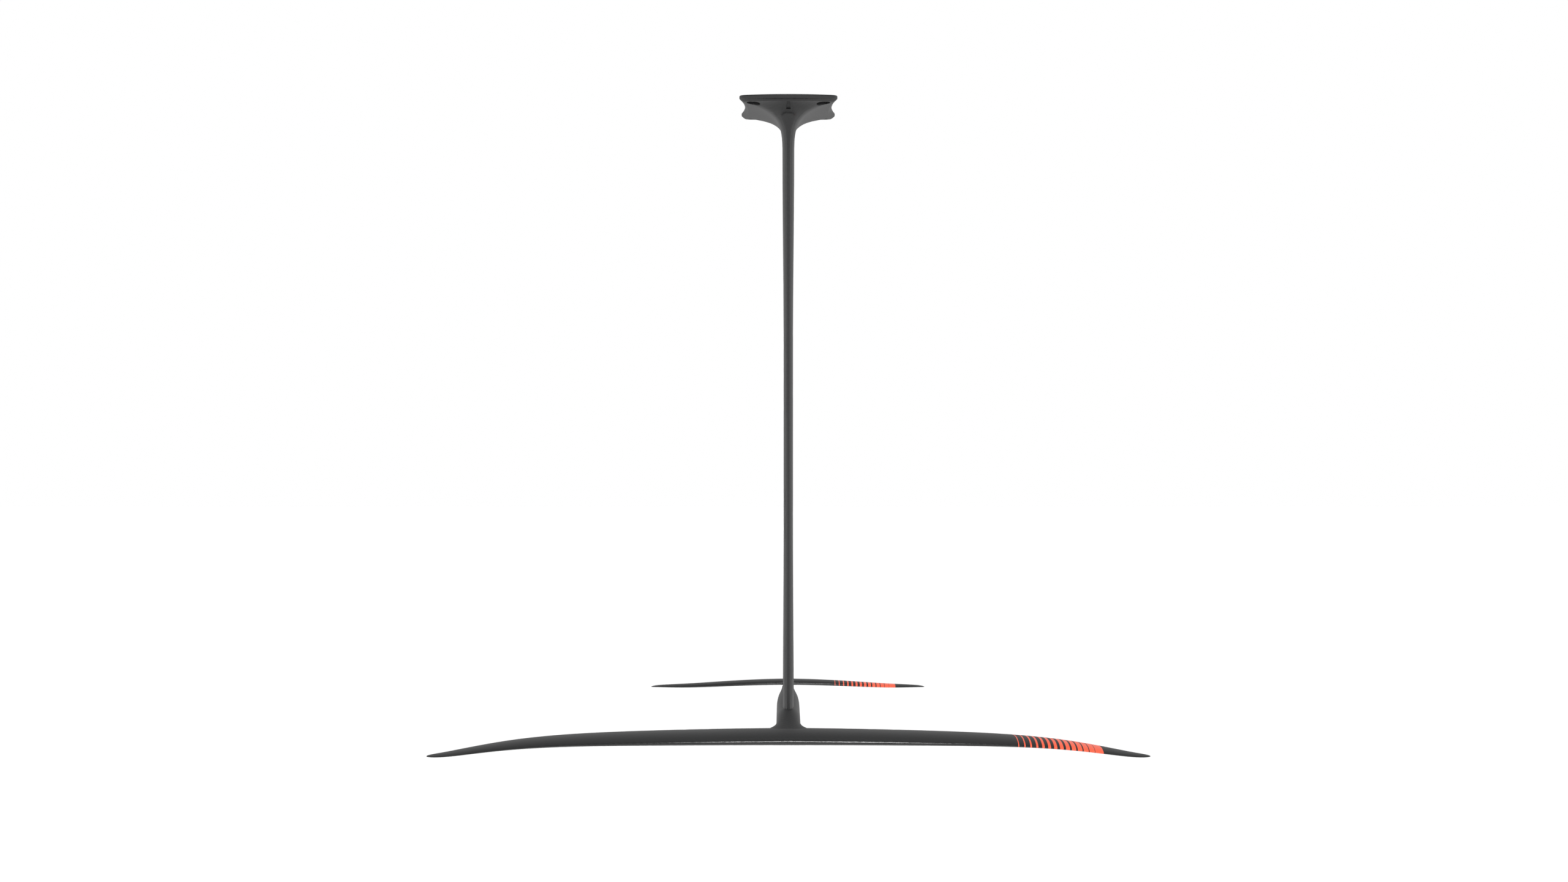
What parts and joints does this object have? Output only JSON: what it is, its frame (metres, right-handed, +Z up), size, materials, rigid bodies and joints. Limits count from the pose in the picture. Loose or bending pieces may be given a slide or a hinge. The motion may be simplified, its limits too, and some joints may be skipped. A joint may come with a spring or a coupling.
{
  "type": "hydrofoil",
  "caption": "Hydrofoil for a foil board: tall thin mast with a slotted board plate, wide arched front wing, slim tail boom and small stabiliser.",
  "frame": {"origin": "on the board face of the mast's plate, at the middle of its four bolt slots", "axes": "+X across the span, to the right of someone who looks along the flow; +Y with the flow, from the front wing to the stabiliser; +Z up, out of the board face"},
  "size_m": [0.9206, 0.658, 0.8444],
  "materials": {
    "mast_carbon": "satin black carbon laminate",
    "wing_carbon": "satin black carbon laminate",
    "boom_carbon": "satin black carbon laminate",
    "stabilizer_carbon": "satin black carbon laminate",
    "stripe_paint": "orange paint under a satin clear coat",
    "foam": "rigid closed-cell foam",
    "shim_plastic": "black nylon",
    "bolt_steel": "stainless steel",
    "cup_steel": "stainless steel",
    "insert_steel": "stainless steel"
  },
  "bodies": {
    "root": {"boom_bolt_front": "bolt_steel", "boom_bolt_rear": "bolt_steel", "boom_core": "foam", "boom_nut_front": "insert_steel", "boom_nut_rear": "insert_steel", "front_wing": "wing_carbon", "mast": "mast_carbon", "mast_bolt_front": "bolt_steel", "mast_bolt_rear": "bolt_steel", "mast_core_front": "foam", "mast_core_rear": "foam", "mast_cup_front": "cup_steel", "mast_cup_rear": "cup_steel", "mast_insert_front": "insert_steel", "mast_insert_rear": "insert_steel", "stabilizer": "stabilizer_carbon", "stabilizer_bolt_front": "bolt_steel", "stabilizer_bolt_rear": "bolt_steel", "stabilizer_insert_front": "insert_steel", "stabilizer_insert_rear": "insert_steel", "stabilizer_shim": "shim_plastic", "tail_boom": "boom_carbon", "wing_core_left": "foam", "wing_core_right": "foam"}
  },
  "joints": []
}
